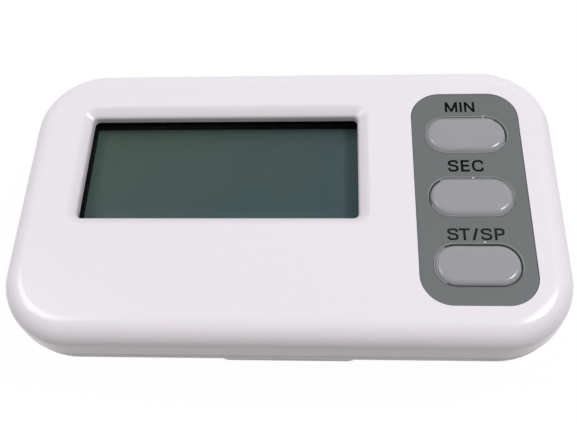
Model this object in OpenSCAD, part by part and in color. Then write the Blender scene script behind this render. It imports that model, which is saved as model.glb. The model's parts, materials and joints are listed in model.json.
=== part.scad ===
// Small digital timer: a rounded two-shell case with a recessed display, a grey key panel
// with three keys, a twist-off cell door and a sprung clip with a magnet on the back.
// X runs to the right of the face, Y up the face and Z out of the face. The timer lies on its
// back, with Z = 0 on the outer face of the clip and the origin under the middle of the case.

/* [Case] */
// Width of the case
case_w = 62.8; // [61:0.2:72]
// Height of the case
case_h = 36.3; // [36:0.1:44]
// Thickness of the case without the clip
case_t = 12; // [11.6:0.1:15]
// Corner radius seen from the front
corner_r = 8.2; // [7.8:0.1:9]
// Radius of the front edge
front_edge_r = 2.5; // [1.8:0.1:2.8]
// Radius of the rear edge
rear_edge_r = 7.2; // [6:0.1:7.4]
// Distance from the face to the parting line
front_depth = 4.7; // [4.4:0.1:5]
// Thickness of the side and rear walls
wall = 1.5; // [1.3:0.1:1.6]
// Thickness of the front wall
face_wall = 1.6; // [1.4:0.1:1.8]
// Step by which the rear shell lies inside the front shell's outline
seam_step = 0.12; // [0.05:0.01:0.2]
// Height of the lip that joins the two shells
lip_h = 0.8; // [0.5:0.1:1]
// Thickness of that lip
lip_t = 0.7; // [0.5:0.05:0.8]

/* [Display] */
// Width of the display opening
view_w = 32.5; // [28:0.1:33]
// Height of the display opening
view_h = 14.1; // [11:0.1:14.4]
// Distance from the left side of the case to the opening
view_left = 7.2; // [6.8:0.1:9]
// Distance from the top of the case to the opening
view_top = 7.2; // [7:0.05:9]
// Inner corner radius of the opening
view_corner_r = 0.6; // [0.2:0.1:1]
// Angle of the sloping bezel round the opening
bezel_slope = 29; // [24:1:40]
// Straight rim at the foot of the slope
bezel_land = 0.6; // [0.3:0.05:0.7]
// Thickness of the clear window
window_t = 0.8; // [0.6:0.1:1]
// Thickness of the black spacer frame behind the window
spacer_t = 0.9; // [0.5:0.05:1]
// Thickness of each display glass
glass_t = 0.6; // [0.4:0.05:0.65]
// Thickness of the front and rear films
film_t = 0.15; // [0.1:0.05:0.25]
// Overlap of the glass behind the opening
glass_margin = 0.5; // [0.4:0.1:0.8]
// Width of the contact ledge along the top of the front glass
ledge_w = 1.8; // [1.5:0.1:2]

/* [Keys] */
// Width of the grey key panel
panel_w = 12.6; // [12:0.1:14]
// Height of the key panel
panel_h = 27.8; // [26:0.2:29]
// Corner radius of the key panel
panel_r = 3.5; // [2:0.1:5]
// Thickness of the key panel
panel_t = 0.8; // [0.5:0.05:0.9]
// Depth of the panel's surface below the face
panel_drop = 0.1; // [0.05:0.05:0.2]
// Distance from the right side of the case to the panel
panel_right = 4.1; // [3.6:0.1:5]
// Height of the panel's middle above the middle of the case
panel_y = -0.2; // [-0.6:0.1:0.6]
// Distance between the keys
key_pitch = 8.53; // [7.6:0.01:8.8]
// Height of the middle key above the middle of the case
keys_y = -0.82; // [-1.2:0.01:0.2]
// Width of a key
key_w = 9.3; // [8.6:0.1:9.5]
// Height of a key
key_h = 4.85; // [4.75:0.05:5]
// Corner radius of a key
key_r = 2.35; // [1.8:0.05:2.4]
// Radius of a key's top edge
key_edge_r = 0.7; // [0.3:0.05:0.8]
// Height of a key above the panel
key_proud = 0.35; // [0.1:0.05:0.8]
// Gap round a key
key_gap = 0.07; // [0.05:0.01:0.2]
// Travel of a key
key_travel = 0.8; // [0.5:0.05:0.9]

/* [Circuit board] */
// Distance from the face to the board
board_depth = 5.2; // [5.1:0.05:5.4]
// Thickness of the board
board_t = 1; // [0.8:0.1:1.2]
// Gap between the board's edge and the case
board_gap = 0.7; // [0.5:0.05:1.2]
// Radius of the board's screw posts
post_r = 1.7; // [1.4:0.1:1.8]

/* [Cell and door] */
// Diameter of the button cell
cell_d = 11.6; // [11:0.1:11.8]
// Thickness of the button cell
cell_t = 3.05; // [2.6:0.05:3.1]
// Radius of the cell door
door_r = 7; // [6.8:0.1:7.2]
// Thickness of the door
door_t = 1.5; // [1.3:0.1:1.6]
// Turn that frees the door
door_turn = 40; // [30:1:45]
// Width of the coin slot
coin_slot_w = 1.5; // [1:0.1:2]

/* [Buzzer] */
// Radius of the buzzer's brass plate
buzzer_r = 7.5; // [6.5:0.1:7.6]
// Radius of the buzzer's ceramic disc
ceramic_r = 5.4; // [4:0.1:5.4]
// Radius of a sound hole
sound_hole_r = 0.6; // [0.4:0.05:0.8]

/* [Clip] */
// Width of the clip's thumb end
clip_w = 14; // [12:0.2:15]
// Distance by which the clip's leg is wider than its thumb end, on each side
leg_side = 2; // [0.5:0.1:2.2]
// Thickness of the clip
clip_t = 1.6; // [1.5:0.05:1.9]
// Height of the case's back above the clip's outer face
clip_stand = 2.2; // [2.1:0.05:2.8]
// Distance of the jaw's tip below the middle of the case
clip_tip = 15.5; // [14:0.1:16]
// Distance of the thumb end above the middle of the case
clip_thumb = 13.6; // [13:0.1:13.8]
// Corner radius of the clip
clip_r = 2; // [1.5:0.1:3]
// Height of the hinge pin above the middle of the case
pin_y = 5; // [4.6:0.1:6]
// Radius of the hinge pin
pin_r = 0.6; // [0.5:0.05:0.7]
// Angle to which the clip opens
clip_turn = 20; // [16:1:22]
// Diameter of the clip spring's wire
clip_wire = 0.5; // [0.4:0.05:0.55]
// Number of curls in the clip spring
clip_curls = 4; // [3:1:4]
// Radius of the magnet
magnet_r = 5; // [4:0.1:5.4]
// Thickness of the magnet
magnet_t = 1.1; // [0.8:0.1:1.2]

/* [Screws] */
// Distance of the case screws from the sides of the case
screw_inset = 4.6; // [4.4:0.1:4.8]
// Radius of a case screw's boss in the front shell
boss_r = 1.9; // [1.7:0.05:1.9]
// Radius of a case screw's shank
screw_r = 0.9; // [0.7:0.05:1]
// Radius of a case screw's head
screw_head_r = 1.6; // [1.4:0.05:1.7]
// Radius of a board screw's shank
board_screw_r = 0.6; // [0.5:0.05:0.8]

/* [Clearances] */
// Gap between fixed pieces that slip together
fit = 0.08; // [0.04:0.01:0.12]
// Gap between pieces that turn or slide on each other
run = 0.15; // [0.1:0.01:0.2]

/* [Hidden] */
$fn = 64;
eps = 0.01;

// Levels along Z
back_z = clip_stand;
face_z = clip_stand + case_t;
seam_z = face_z - front_depth;
rear_depth = case_t - front_depth;
inner_face_z = face_z - face_wall;
board_front_z = face_z - board_depth;
board_back_z = board_front_z - board_t;
window_z = inner_face_z - window_t;
spacer_z = window_z - spacer_t;
front_film_z = spacer_z - film_t;
front_glass_z = front_film_z - glass_t;
rear_glass_z = front_glass_z - glass_t;
rear_film_z = rear_glass_z - film_t;
panel_top_z = face_z - panel_drop;
panel_floor_z = panel_top_z - panel_t;

// Places on the face
view_x = -case_w / 2 + view_left + view_w / 2;
view_y = case_h / 2 - view_top - view_h / 2;
panel_x = case_w / 2 - panel_right - panel_w / 2;
glass_w = view_w + 2 * glass_margin;
glass_h = view_h + 2 * glass_margin;
glass_top = view_y + glass_h / 2;
rib_t = 0.8;
rib_r = 0.6;
rib_z = front_glass_z;
bezel_foot_r = 0.5;
bezel_edge_r = 0.8;
inner_edge_r = 0.6;
window_r = 0.5;
film_r = 0.4;
glass_r = 0.3;

// Keys
panel_edge_r = 0.1;
panel_gap = 0.03;
opening_edge_r = 0.15;
flange_t = 0.7;
flange_rim = 0.6;
flange_gap = 0.3;
flange_w = key_w + 2 * flange_rim;
flange_h = key_h + 2 * flange_rim;
flange_top_z = inner_face_z - run;
flange_z = flange_top_z - flange_t;
key_top_z = panel_top_z + key_proud;
stem_r = 1.6;
stem_h = 0.45;
stem_z = flange_z - stem_h;
mat_side = 0.3;
mat_w = panel_w - 2 * mat_side;
mat_r = 5;
mat_t = 0.6;
mat_z = board_front_z + mat_t;
dome_r = 2.9;
dome_top_r = 2;
dome_wall = 0.5;
dome_top_wall = 0.4;
pill_r = 1.3;
pill_t = 0.3;
dome_roof_z = board_front_z + key_travel + pill_t + run;
key_rib_w = flange_w + 2 * flange_gap;
key_rib_h = 2 * key_pitch + flange_h + 2 * flange_gap;
key_rib_r = 3.2;
mat_h = key_rib_h + 2 * rib_t;

// Board
board_w = case_w - 2 * (wall + seam_step + board_gap);
board_h = case_h - 2 * (wall + seam_step + board_gap);
boss_x = case_w / 2 - screw_inset;
boss_y = case_h / 2 - screw_inset;
boss_clear = 0.4;
boss_end_z = seam_z;
boss_roof = 0.6;
pilot_gap = 0.02;
pilot_spare = 0.3;
zebra_w = ledge_w - 2 * run;
zebra_y = glass_top + ledge_w / 2;
zebra_short = 2;
zebra_l = glass_w - 2 * zebra_short;

// Board screws: at the panel's upper corner, beside its foot and under the display
post_in_panel = 0.3;
post_side = 1.1;
post_edge = 2;
post_in = 3;
post_drop = 6.3;
post_high = [panel_x - panel_w / 2 + post_in_panel, board_h / 2 - post_edge];
post_low = [panel_x - panel_w / 2 - post_side - post_r, post_edge - board_h / 2];
post_left = [view_x - view_w / 2 + post_in, view_y - view_h / 2 - post_drop];
posts = [post_high, post_low, post_left];

// Chip, crystal and small components on the back of the board
chip_y = -8.6;
chip_r = 3.2;
chip_h = 1.1;
crystal_r = 1;
crystal_l = 6;
crystal_cap = 0.4;
crystal_step = 0.2;
crystal_gap = 0.15;
component_size = [1.6, 0.8, 0.6];
component_pitch = 2.6;
component_side = 2.4;

// Clip and hinge
recess_side = 0.6;
recess_w = clip_w + 2 * recess_side;
recess_r = 1.2;
pin_depth = 1.2;
pin_z = back_z + pin_depth;
pin_cover = 0.3;
pin_l = recess_w + 2 * (wall - pin_cover);
lug_r = 1.3;
thumb_l = clip_thumb - pin_y;
thumb_rise = thumb_l * sin(clip_turn) - (pin_z - clip_t) * cos(clip_turn);
recess_gap = 0.45;
recess_z = pin_z + max(thumb_rise, lug_r) + recess_gap;
recess_below = 3.6;
recess_low = pin_y - recess_below;
recess_high = pin_y + norm([thumb_l, pin_z]) + recess_gap;
recess_wall_z = recess_z + wall;
leg_top = recess_low - recess_side;
leg_w = clip_w + 2 * leg_side;
lug_in = 3.4;
lug_t = 2;
coil_gap = 0.05;
coil_r = (recess_z - clip_t - clip_wire) / 2 - coil_gap;
coil_z = (recess_z + clip_t) / 2;
curl_gap = 0.45;
clip_pitch = clip_wire + curl_gap;
clip_leg = 4.5;
clip_edge_r = 0.5;
jaw_gap = 0.1;
jaw_lead = 2;
jaw_bevel = 0.7;
tooth_pitch = 1.4;
tooth_count = 3;
tooth_in = 2.9;
tooth_foot = 1;
tooth_tip = 0.3;
magnet_y = -4.4;
groove_r = 0.45;
groove_depth = 0.3;
groove_in = 2;
groove_pitch = 1.4;
groove_count = 4;

// Cell, door and contacts
door_rim = 2.2;
door_boss_r = door_r + door_rim;
door_side = 0.4;
door_x = -(recess_w / 2 + door_side + door_boss_r);
door_y = 0;
door_inner_z = back_z + door_t;
door_skirt = 0.75;
door_skirt_z = door_inner_z + door_skirt;
coin_slot_l = 9;
coin_slot_depth = 0.8;
well_r = cell_d / 2 + run;
well_t = 0.8;
well_flange_z = door_skirt_z + run;
well_flange_t = 1;
well_gap = 0.7;
well_end_z = board_back_z - well_gap;
cell_z = door_inner_z + run;
cell_r = cell_d / 2;
can_edge_r = 0.4;
cap_rim = 1.1;
cap_seal = 0.2;
cap_r = cell_r - cap_rim;
cap_h = 0.35;
cap_edge_r = 0.25;
door_lug_rise = 1.2;
lug_low_z = back_z + door_lug_rise;
door_lug_t = 0.5;
door_lug_reach = 0.8;
door_lug_r = door_r + door_lug_reach;
door_lug_a = 24;
channel_spare_a = 3;
contact_t = 0.25;
contact_w = 3;
blade_lift = 1;
blade_foot = 1.8;
leaf_foot = 3;
leaf_reach = 4;
leaf_tip = 1;
leaf_bend = 0.2;

// Buzzer
buzzer_side = 0.6;
buzzer_x = recess_w / 2 + wall + buzzer_side + buzzer_r;
buzzer_y = 0;
plate_t = 0.2;
ceramic_t = 0.15;
rear_inner_z = back_z + wall;
inner_rear_r = rear_edge_r - wall;
// Reach of the plate past the flat back, and the rise of the rounded shell under its edge
buzzer_reach = max(buzzer_x + buzzer_r + run - (case_w / 2 - seam_step - rear_edge_r), 0);
buzzer_rise = inner_rear_r - sqrt(inner_rear_r ^ 2 - buzzer_reach ^ 2);
buzzer_seat = 0.35;
buzzer_z = rear_inner_z + buzzer_rise + buzzer_seat;
ring_in = 0.3;
ring_w = 0.8;
ceramic_z = buzzer_z + plate_t;
feed_wire = 0.35;
feed_coil_r = 0.7;
feed_curls = 3;
feed_in = 1.1;
feed_y = [0, buzzer_r - feed_in];
sound_ring_r = 3;
sound_ring_holes = 6;

// Case screws
head_gap = 0.2;
shank_gap = 0.15;
counterbore_r = screw_head_r + head_gap;
tower_wall = 1;
screw_seat_h = 4.6;
screw_seat_z = back_z + screw_seat_h;
screw_seat_t = 1;
screw_head_h = 1.1;
screw_l = inner_face_z - boss_roof - screw_seat_z;
board_head_r = 1.25;
board_head_h = 0.8;
board_screw_l = 3.4;

white = "#e7e4ea";
grey = "#6e7271";
key_grey = "#9d9ea2";
steel = "#b9bcc0";
brass = "#c9a252";

// Outline of a rounded rectangle
module rounded_outline(w, h, r) {
    square([w - 2 * r, h], center = true);
    square([w, h - 2 * r], center = true);
    for (x = [-1, 1], y = [-1, 1])
        translate([x * (w / 2 - r), y * (h / 2 - r)]) circle(r);
}

// Flat plate with rounded corners that stands on Z = 0
module plate(w, h, r, t) {
    linear_extrude(t) rounded_outline(w, h, r);
}

// Profile of an edge from the corner axis outwards, rounded at its top
module edge_profile(r, t, top_r) {
    difference() {
        square([r, t]);
        translate([r - top_r, t - top_r]) difference() {
            square(top_r + 1);
            circle(top_r);
        }
    }
}

// Rounded rectangle whose edge profile, given as the child, is swept round its outline
module swept_plate(w, h, r, t) {
    sx = w / 2 - r;
    sy = h / 2 - r;
    translate([-sx, -sy, 0]) cube([2 * sx, 2 * sy, t]);
    for (i = [0 : 3]) {
        run_x = i % 2 == 0 ? sx : sy;
        run_y = i % 2 == 0 ? sy : sx;
        rotate(90 * i) translate([run_x, run_y, 0]) {
            rotate_extrude(angle = 90) children();
            rotate([90, 0, 0]) linear_extrude(2 * run_y) children();
        }
    }
}

// Rounded plate with one round edge at its top
module soft_plate(w, h, r, t, top_r) {
    swept_plate(w, h, r, t) edge_profile(r, t, top_r);
}

// Straight ring between two rounded outlines
module frame_ring(w, h, r, t, rim) {
    difference() {
        plate(w, h, r, t);
        translate([0, 0, -eps]) plate(w - 2 * rim, h - 2 * rim, max(r - rim, 0.1), t + 2 * eps);
    }
}

// The four case screw places
module at_screws() {
    for (x = [-1, 1], y = [-1, 1]) translate([x * boss_x, y * boss_y, 0]) children();
}

// The three board screw places
module at_posts() {
    for (p = posts) translate([p[0], p[1], 0]) children();
}

// The three key places, from the top
module at_keys() {
    for (i = [-1 : 1]) translate([panel_x, keys_y + i * key_pitch, 0]) children();
}

// Tube of six-sided rings along points, with one side direction for each point
module wire_tube(points, sides_to, d) {
    n = 6;
    last = len(points) - 1;
    along = [for (i = [0 : last])
        let (v = points[min(i + 1, last)] - points[max(i - 1, 0)]) v / norm(v)];
    rings = [for (i = [0 : last], k = [0 : n - 1])
        let (a = 360 * k / n, u = sides_to[i], w = cross(along[i], u))
        points[i] + d / 2 * (cos(a) * u + sin(a) * w)];
    skin = [for (i = [0 : last - 1], k = [0 : n - 1])
        let (a = i * n + k, b = i * n + (k + 1) % n)
        each [[a, a + n, b], [b, a + n, b + n]]];
    caps = [for (k = [1 : n - 2])
        each [[0, k, k + 1], [last * n, last * n + k + 1, last * n + k]]];
    polyhedron(points = rings, faces = concat(skin, caps));
}

// Least gap of a wire to itself, on points at least half a curl apart
function wire_gap(points, d) =
    min([for (i = [0 : len(points) - 1], j = [0 : len(points) - 1])
        if (j > i + 4) norm(points[i] - points[j])]) - d;

module front_case() {
    color(white) difference() {
        union() {
            difference() {
                translate([0, 0, seam_z])
                    soft_plate(case_w, case_h, corner_r, front_depth, front_edge_r);
                translate([0, 0, seam_z - eps])
                    soft_plate(case_w - 2 * wall, case_h - 2 * wall, corner_r - wall,
                        front_depth - face_wall + eps, inner_edge_r);
            }
            // Ribs that locate the window and the display
            translate([view_x, view_y + ledge_w / 2, rib_z])
                frame_ring(glass_w + 2 * (fit + rib_t), glass_h + ledge_w + 2 * (fit + rib_t), rib_r,
                    inner_face_z - rib_z + eps, rib_t);
            // Rib that presses the edge of the key mat on the board
            translate([panel_x, keys_y, mat_z + fit])
                frame_ring(key_rib_w + 2 * rib_t, key_rib_h + 2 * rib_t, key_rib_r,
                    inner_face_z - mat_z - fit + eps, rib_t);
            at_screws() translate([0, 0, boss_end_z])
                cylinder(r = boss_r, h = inner_face_z - boss_end_z + eps);
            at_posts() translate([0, 0, board_front_z])
                cylinder(r = post_r, h = inner_face_z - board_front_z + eps);
        }
        display_cut();
        panel_cut();
        // Room for the window and the display, clear of ribs and posts
        translate([view_x, view_y + ledge_w / 2, board_front_z - eps])
            plate(glass_w + 2 * fit, glass_h + ledge_w + 2 * fit, glass_r,
                inner_face_z - board_front_z + eps);
        at_screws() translate([0, 0, boss_end_z - eps])
            cylinder(r = screw_r + pilot_gap,
                h = inner_face_z - boss_end_z - boss_roof + 2 * eps);
        at_posts() translate([0, 0, board_front_z - eps])
            cylinder(r = board_screw_r + pilot_gap, h = board_screw_l - board_t + pilot_spare);
        // Rebate for the rear shell's lip
        translate([0, 0, seam_z - eps])
            frame_ring(case_w - 2 * (wall - lip_t - fit), case_h - 2 * (wall - lip_t - fit),
                corner_r - wall + lip_t + fit, lip_h + fit + eps, lip_t + 2 * fit);
    }
}

// Opening for the display: a straight rim, a slope that starts in a round foot, and a round top edge
module display_cut() {
    steps = 5;
    slope_h = face_wall - bezel_land - bezel_foot_r * cos(bezel_slope);
    bezel_w = bezel_foot_r * (1 - sin(bezel_slope)) + slope_h / tan(bezel_slope);
    top = view_corner_r + bezel_w + bezel_edge_r * tan(bezel_slope / 2);
    foot = [for (i = [0 : steps])
        let (a = (90 - bezel_slope) * i / steps)
        [view_corner_r + bezel_foot_r * (1 - cos(a)), bezel_land + bezel_foot_r * sin(a)]];
    edge = [for (i = [0 : steps])
        let (a = bezel_slope * (1 - i / steps))
        [top - bezel_edge_r * sin(a), face_wall - bezel_edge_r * (1 - cos(a))]];
    translate([view_x, view_y, inner_face_z])
        swept_plate(view_w, view_h, view_corner_r, face_wall + eps)
            polygon(concat([[0, -eps], [view_corner_r, -eps]], foot, edge,
                [[top, face_wall + eps], [0, face_wall + eps]]));
    translate([view_x, view_y, inner_face_z - eps])
        plate(view_w, view_h, view_corner_r, 2 * eps);
}

// Pocket for the key panel and the openings for the keys
module panel_cut() {
    translate([panel_x, panel_y, panel_floor_z])
        plate(panel_w + 2 * panel_gap, panel_h + 2 * panel_gap, panel_r + panel_gap, face_wall);
    at_keys() translate([0, 0, inner_face_z - eps]) key_opening(face_wall);
}

module key_opening(t) {
    plate(key_w + 2 * key_gap, key_h + 2 * key_gap, key_r + key_gap, t);
}

// Rounding of a key opening's top edge
module opening_edge() {
    steps = 4;
    rim = key_r + key_gap + opening_edge_r;
    curve = [for (i = [0 : steps])
        let (a = 90 * i / steps) [rim - opening_edge_r * cos(a), opening_edge_r * sin(a)]];
    swept_plate(key_w + 2 * key_gap, key_h + 2 * key_gap, key_r + key_gap, opening_edge_r + eps)
        polygon(concat([[0, -eps]], [[key_r + key_gap, -eps]], curve,
            [[rim, opening_edge_r + eps], [0, opening_edge_r + eps]]));
}

module display_window() {
    color("#dfe6e6") translate([view_x, view_y, window_z])
        plate(glass_w, glass_h, window_r, window_t);
}

module display_spacer() {
    color("#161616") translate([view_x, view_y, spacer_z])
        frame_ring(glass_w, glass_h, window_r, spacer_t, glass_margin);
}

module lcd_front_film() {
    color("#48564f") translate([view_x, view_y, front_film_z])
        plate(glass_w - 2 * fit, glass_h - 2 * fit, film_r, film_t);
}

module lcd_front_glass() {
    color("#8fa39b") translate([view_x, view_y + ledge_w / 2, front_glass_z])
        plate(glass_w, glass_h + ledge_w, glass_r, glass_t);
}

module lcd_rear_glass() {
    color("#8fa39b") translate([view_x, view_y, rear_glass_z])
        plate(glass_w, glass_h, glass_r, glass_t);
}

module lcd_rear_film() {
    color("#a9b0ac") translate([view_x, view_y, rear_film_z])
        plate(glass_w - 2 * fit, glass_h - 2 * fit, film_r, film_t);
}

// Rubber strip between the ledge of the front glass and the board
module zebra_strip() {
    color("#3a3a3c") translate([view_x - zebra_l / 2, zebra_y - zebra_w / 2, board_front_z])
        cube([zebra_l, zebra_w, front_glass_z - board_front_z]);
}

module key_panel() {
    color(grey) difference() {
        translate([panel_x, panel_y, panel_floor_z])
            soft_plate(panel_w, panel_h, panel_r, panel_t, panel_edge_r);
        at_keys() translate([0, 0, panel_floor_z - eps]) key_opening(panel_t + 2 * eps);
        at_keys() translate([0, 0, panel_top_z - opening_edge_r]) opening_edge();
    }
}

// One key, with its cap, its retaining flange and its stem
module key(row) {
    translate([panel_x, keys_y + row * key_pitch, 0]) {
        translate([0, 0, flange_top_z])
            soft_plate(key_w, key_h, key_r, key_top_z - flange_top_z, key_edge_r);
        translate([0, 0, flange_z]) plate(flange_w, flange_h, key_r, flange_t);
        translate([0, 0, stem_z]) cylinder(r = stem_r, h = stem_h);
    }
}

module minute_key() {
    color(key_grey) key(1);
}

module second_key() {
    color(key_grey) key(0);
}

module start_stop_key() {
    color(key_grey) key(-1);
}

// Rubber mat with one hollow dome under each key
module key_mat() {
    color("#c9cacc") difference() {
        union() {
            translate([panel_x, keys_y, board_front_z]) plate(mat_w, mat_h, mat_r, mat_t);
            at_keys() {
                translate([0, 0, mat_z])
                    cylinder(r1 = dome_r, r2 = dome_top_r, h = dome_roof_z - mat_z);
                translate([0, 0, dome_roof_z]) cylinder(r = dome_top_r, h = stem_z - dome_roof_z);
            }
        }
        at_keys() translate([0, 0, board_front_z - eps])
            cylinder(r = dome_r - dome_wall, h = mat_t + eps);
        at_keys() translate([0, 0, mat_z - eps])
            cylinder(r1 = dome_r - dome_wall, r2 = dome_top_r - dome_top_wall,
                h = dome_roof_z - mat_z + eps);
    }
}

// Carbon contact under one dome
module contact(row) {
    translate([panel_x, keys_y + row * key_pitch, dome_roof_z - pill_t])
        cylinder(r = pill_r, h = pill_t);
}

module minute_contact() {
    color("#202022") contact(1);
}

module second_contact() {
    color("#202022") contact(0);
}

module start_stop_contact() {
    color("#202022") contact(-1);
}

module circuit_board() {
    notch_x = boss_x - boss_r - boss_clear;
    notch_y = boss_y - boss_r - boss_clear;
    color("#2f6b3c") translate([0, 0, board_back_z]) difference() {
        linear_extrude(board_t) {
            square([2 * notch_x, board_h], center = true);
            square([board_w, 2 * notch_y], center = true);
        }
        at_posts() translate([0, 0, -eps])
            cylinder(r = board_screw_r + fit, h = board_t + 2 * eps);
    }
}

// Domed resin over the chip
module chip_cover() {
    ball_r = (chip_r ^ 2 + chip_h ^ 2) / (2 * chip_h);
    color("#1b1b1d") translate([0, chip_y, board_back_z]) intersection() {
        translate([0, 0, ball_r - chip_h]) sphere(ball_r);
        translate([0, 0, -2 * chip_h]) cylinder(r = 2 * chip_r, h = 2 * chip_h);
    }
}

// Metal can of the crystal, lying on the board beside the lower screw
module quartz_crystal() {
    end_x = post_low[0] - board_head_r - crystal_gap;
    color(steel) translate([end_x - crystal_l, post_low[1], board_back_z - crystal_r])
        rotate([0, 90, 0]) {
            cylinder(r = crystal_r, h = crystal_l);
            translate([0, 0, -crystal_cap]) cylinder(r = crystal_r - crystal_step, h = crystal_cap);
        }
}

// Small components in a column on each side of the chip
module board_components() {
    column_x = chip_r + component_side;
    places = [[-1, -1], [-1, 0], [-1, 1], [1, 0], [1, 1]];
    color("#b7a788") for (p = places)
        translate([p[0] * column_x, chip_y + p[1] * component_pitch,
            board_back_z - component_size[2] / 2]) cube(component_size, center = true);
}

// Self-tapping screw with its head down and a cross recess
module screw(shank_r, shank_l, head_r, head_h) {
    difference() {
        union() {
            cylinder(r = shank_r, h = shank_l);
            translate([0, 0, -head_h]) cylinder(r = head_r, h = head_h);
        }
        for (a = [0, 90]) rotate(a) translate([0, 0, -head_h])
            cube([head_r * 1.3, head_r * 0.32, head_h], center = true);
    }
}

module board_screws() {
    color(steel) at_posts() translate([0, 0, board_back_z])
        screw(board_screw_r, board_screw_l, board_head_r, board_head_h);
}

module case_screws() {
    color(steel) at_screws() translate([0, 0, screw_seat_z])
        screw(screw_r, screw_l, screw_head_r, screw_head_h);
}

module buzzer_plate() {
    color(brass) translate([buzzer_x, buzzer_y, buzzer_z]) cylinder(r = buzzer_r, h = plate_t);
}

module buzzer_ceramic() {
    color("#d8d4c8") translate([buzzer_x, buzzer_y, ceramic_z])
        cylinder(r = ceramic_r, h = ceramic_t);
}

// Points and side directions of one feed spring that stands on a level
function feed_turns(low_z) =
    let (rise = board_back_z - low_z - 2 * feed_wire, steps = feed_curls * 8)
    concat([[0, low_z]],
        [for (i = [0 : steps]) [360 * i / 8, low_z + feed_wire + rise * i / steps]],
        [[360 * feed_curls, board_back_z]]);
function feed_points(low_z) =
    [for (t = feed_turns(low_z)) [feed_coil_r * cos(t[0]), feed_coil_r * sin(t[0]), t[1]]];
function feed_sides(low_z) = [for (t = feed_turns(low_z)) [cos(t[0]), sin(t[0]), 0]];

// Springs that carry the signal from the board to the buzzer
module buzzer_springs() {
    floors = [ceramic_z + ceramic_t, ceramic_z];
    echo(buzzer_spring_gap = wire_gap(feed_points(floors[0]), feed_wire));
    color(steel) for (i = [0, 1]) translate([buzzer_x, buzzer_y + feed_y[i], 0])
        wire_tube(feed_points(floors[i]), feed_sides(floors[i]), feed_wire);
}

// Cell can, open at the front where the cap sits in it
module cell_can() {
    color("#c8cacc") translate([door_x, door_y, cell_z]) difference() {
        soft_can(cell_r, cell_t - cap_h);
        translate([0, 0, cell_t - 2 * cap_h]) cylinder(r = cap_r + cap_seal, h = cell_t);
    }
}

// Round can with a rounded closed end on Z = 0
module soft_can(r, h) {
    translate([0, 0, h]) mirror([0, 0, 1]) rotate_extrude() edge_profile(r, h, can_edge_r);
}

module cell_cap() {
    color("#b8b9ba") translate([door_x, door_y, cell_z + cell_t - 2 * cap_h])
        rotate_extrude() edge_profile(cap_r, 2 * cap_h, cap_edge_r);
}

// Blade that stands beside the cell's can
module positive_contact() {
    low_z = cell_z + blade_lift;
    color(brass) translate([door_x - contact_w / 2, door_y + cell_r + fit, 0]) {
        translate([0, 0, low_z]) cube([contact_w, contact_t, board_back_z - low_z]);
        translate([0, 0, board_back_z - contact_t]) cube([contact_w, blade_foot, contact_t]);
    }
}

// Leaf that presses on the cell's cap
module negative_contact() {
    low_z = board_back_z - contact_t;
    tip_z = cell_z + cell_t + fit;
    color(brass) translate([door_x, door_y, 0]) rotate([90, 0, 0])
        translate([0, 0, -contact_w / 2]) linear_extrude(contact_w)
            polygon([[-leaf_foot, board_back_z], [leaf_reach, board_back_z], [leaf_reach, low_z],
                [leaf_tip - leaf_foot, low_z], [0, tip_z + contact_t],
                [leaf_tip, tip_z + contact_t], [leaf_tip, tip_z], [-leaf_bend, tip_z],
                [-leaf_foot, low_z]]);
}

// Outer form of the rear shell, or of its hollow where it is drawn in
module rear_form(inset, depth) {
    translate([0, 0, seam_z]) mirror([0, 0, 1])
        soft_plate(case_w - 2 * (seam_step + inset), case_h - 2 * (seam_step + inset),
            corner_r - seam_step - inset, depth, rear_edge_r - inset);
}

// Block that fills the rear shell between two levels inside its outer form
module inside_rear(low_z, high_z) {
    intersection() {
        rear_form(0, rear_depth);
        translate([0, 0, low_z]) linear_extrude(high_z - low_z) children();
    }
}

module rear_case() {
    color(white) difference() {
        union() {
            difference() {
                rear_form(0, rear_depth);
                translate([0, 0, eps]) rear_form(wall, rear_depth - wall + eps);
            }
            // Lip inside the front shell
            translate([0, 0, seam_z - wall])
                frame_ring(case_w - 2 * (wall - lip_t), case_h - 2 * (wall - lip_t),
                    corner_r - wall + lip_t, wall + lip_h, lip_t);
            inside_rear(back_z, screw_seat_z + screw_seat_t) at_screws()
                circle(counterbore_r + tower_wall);
            inside_rear(screw_seat_z, boss_end_z - fit) at_screws() circle(boss_r);
            // Walls round the hinge recess
            inside_rear(back_z, recess_wall_z) translate([0, (recess_low + recess_high) / 2])
                square([recess_w + 2 * wall, recess_high - recess_low + 2 * wall], center = true);
            // Seat of the cell door and the well round the cell
            inside_rear(back_z, well_flange_z + well_flange_t)
                translate([door_x, door_y]) circle(door_boss_r);
            translate([door_x, door_y, well_flange_z])
                cylinder(r = well_r + well_t, h = well_end_z - well_flange_z);
            // Ring that carries the buzzer plate
            translate([buzzer_x, buzzer_y, back_z + wall / 2]) difference() {
                cylinder(r = buzzer_r - ring_in, h = buzzer_z - back_z - wall / 2);
                translate([0, 0, -eps]) cylinder(r = buzzer_r - ring_in - ring_w, h = rear_depth);
            }
        }
        rear_screw_cuts();
        hinge_cuts();
        door_cuts();
        sound_holes();
    }
}

module rear_screw_cuts() {
    at_screws() {
        cylinder(r = counterbore_r, h = screw_seat_z);
        cylinder(r = screw_r + shank_gap, h = seam_z);
    }
}

// Recess for the clip's lugs and thumb end, with the holes for its pin
module hinge_cuts() {
    translate([0, (recess_low + recess_high) / 2, 0])
        plate(recess_w, recess_high - recess_low, recess_r, recess_z);
    translate([-pin_l / 2, pin_y, pin_z]) rotate([0, 90, 0]) cylinder(r = pin_r + pilot_gap, h = pin_l);
}

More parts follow.
